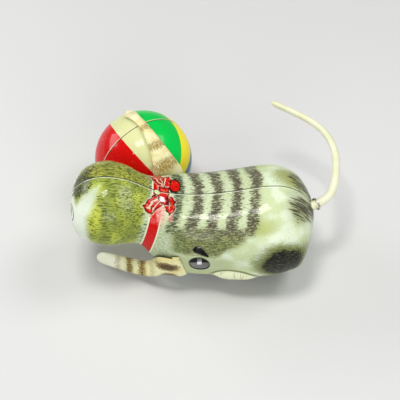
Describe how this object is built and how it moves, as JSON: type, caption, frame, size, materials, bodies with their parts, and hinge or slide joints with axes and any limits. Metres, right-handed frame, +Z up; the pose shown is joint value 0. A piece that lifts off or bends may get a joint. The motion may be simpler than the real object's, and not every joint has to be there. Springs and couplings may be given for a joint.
{
  "type": "clockwork toy kitten with ball",
  "caption": "Wind-up tin kitten in two printed half shells, with a clockwork motor in its open belly, a foreleg over a rolling ball and a rubber tail.",
  "frame": {"origin": "on the ground, at the middle of the toy's outline seen from above", "axes": "+X towards the head, +Y to the kitten's left, +Z up; the ground is z = 0"},
  "size_m": [0.125, 0.0918, 0.057],
  "materials": {
    "printed_tin": "glossy lithographed tabby print",
    "cream_tin": "glossy cream lacquer",
    "leg_tin": "glossy cream print with brown bands",
    "ball_tin": "glossy printed segments",
    "cream_rubber": "smooth semi-matte rubber",
    "black_rubber": "matte rubber",
    "steel_wire": "bright drawn steel",
    "plain_tin": "bare tinplate",
    "gear_brass": "stamped brass",
    "spring_steel": "blued spring steel"
  },
  "bodies": {
    "root": {"left_shell": "printed_tin", "right_shell": "printed_tin", "neck_tab": "cream_tin", "left_foreleg": "leg_tin", "right_foreleg": "leg_tin", "ball_axle": "steel_wire", "ball_washers": "steel_wire", "ball_bracket": "plain_tin", "tail_sleeve": "cream_rubber", "tail_wire": "steel_wire", "tail_eyelet": "plain_tin", "left_plate": "plain_tin", "right_plate": "plain_tin", "frame_pillars": "steel_wire", "mainspring": "spring_steel", "lever_pivot": "steel_wire", "front_strap": "plain_tin", "rear_strap": "plain_tin"},
    "ball": {"ball_inner_half": "ball_tin", "ball_outer_half": "ball_tin"},
    "winding": {"winding_arbor": "steel_wire", "ratchet_wheel": "plain_tin"},
    "great": {"great_wheel": "gear_brass", "click_spring": "spring_steel"},
    "second": {"second_arbor": "steel_wire", "second_pinion": "gear_brass", "second_wheel": "gear_brass"},
    "drive": {"drive_axle": "steel_wire", "drive_pinion": "gear_brass", "drive_wheels": "plain_tin", "drive_tyres": "black_rubber"},
    "governor": {"governor_arbor": "steel_wire", "governor_pinion": "gear_brass", "governor_fly": "plain_tin"},
    "lever": {"stop_lever": "plain_tin"}
  },
  "joints": [
    {"name": "drive_spin", "type": "hinge", "parent": "root", "child": "drive", "pos_m": [-0.01183, 0.0191, 0.009], "axis": [0, 1, 0], "continuous": true},
    {"name": "second_spin", "type": "hinge", "parent": "root", "child": "second", "pos_m": [-0.0051, 0.0191, 0.01639], "axis": [0, 1, 0], "continuous": true},
    {"name": "great_spin", "type": "hinge", "parent": "root", "child": "great", "pos_m": [0.00428, 0.0191, 0.0226], "axis": [0, 1, 0], "continuous": true},
    {"name": "governor_spin", "type": "hinge", "parent": "root", "child": "governor", "pos_m": [-0.01158, 0.0191, 0.02334], "axis": [0, 1, 0], "continuous": true},
    {"name": "winding_spin", "type": "hinge", "parent": "root", "child": "winding", "pos_m": [0.00428, 0.0191, 0.0226], "axis": [0, 1, 0], "continuous": true, "deforming": ["mainspring", "click_spring"]},
    {"name": "ball_spin", "type": "hinge", "parent": "root", "child": "ball", "pos_m": [0.03209, -0.0219, 0.024], "axis": [-0.5549, 0.8319, 0], "continuous": true},
    {"name": "lever_swing", "type": "hinge", "parent": "root", "child": "lever", "pos_m": [0.01209, 0.0191, 0.0214], "axis": [0, -1, 0], "range_deg": [0, 12]}
  ],
  "couplings": [
    {"joint": "second_spin", "follows": "drive_spin", "ratio": -0.33333},
    {"joint": "great_spin", "follows": "drive_spin", "ratio": 0.083333},
    {"joint": "governor_spin", "follows": "drive_spin", "ratio": 1.25}
  ]
}
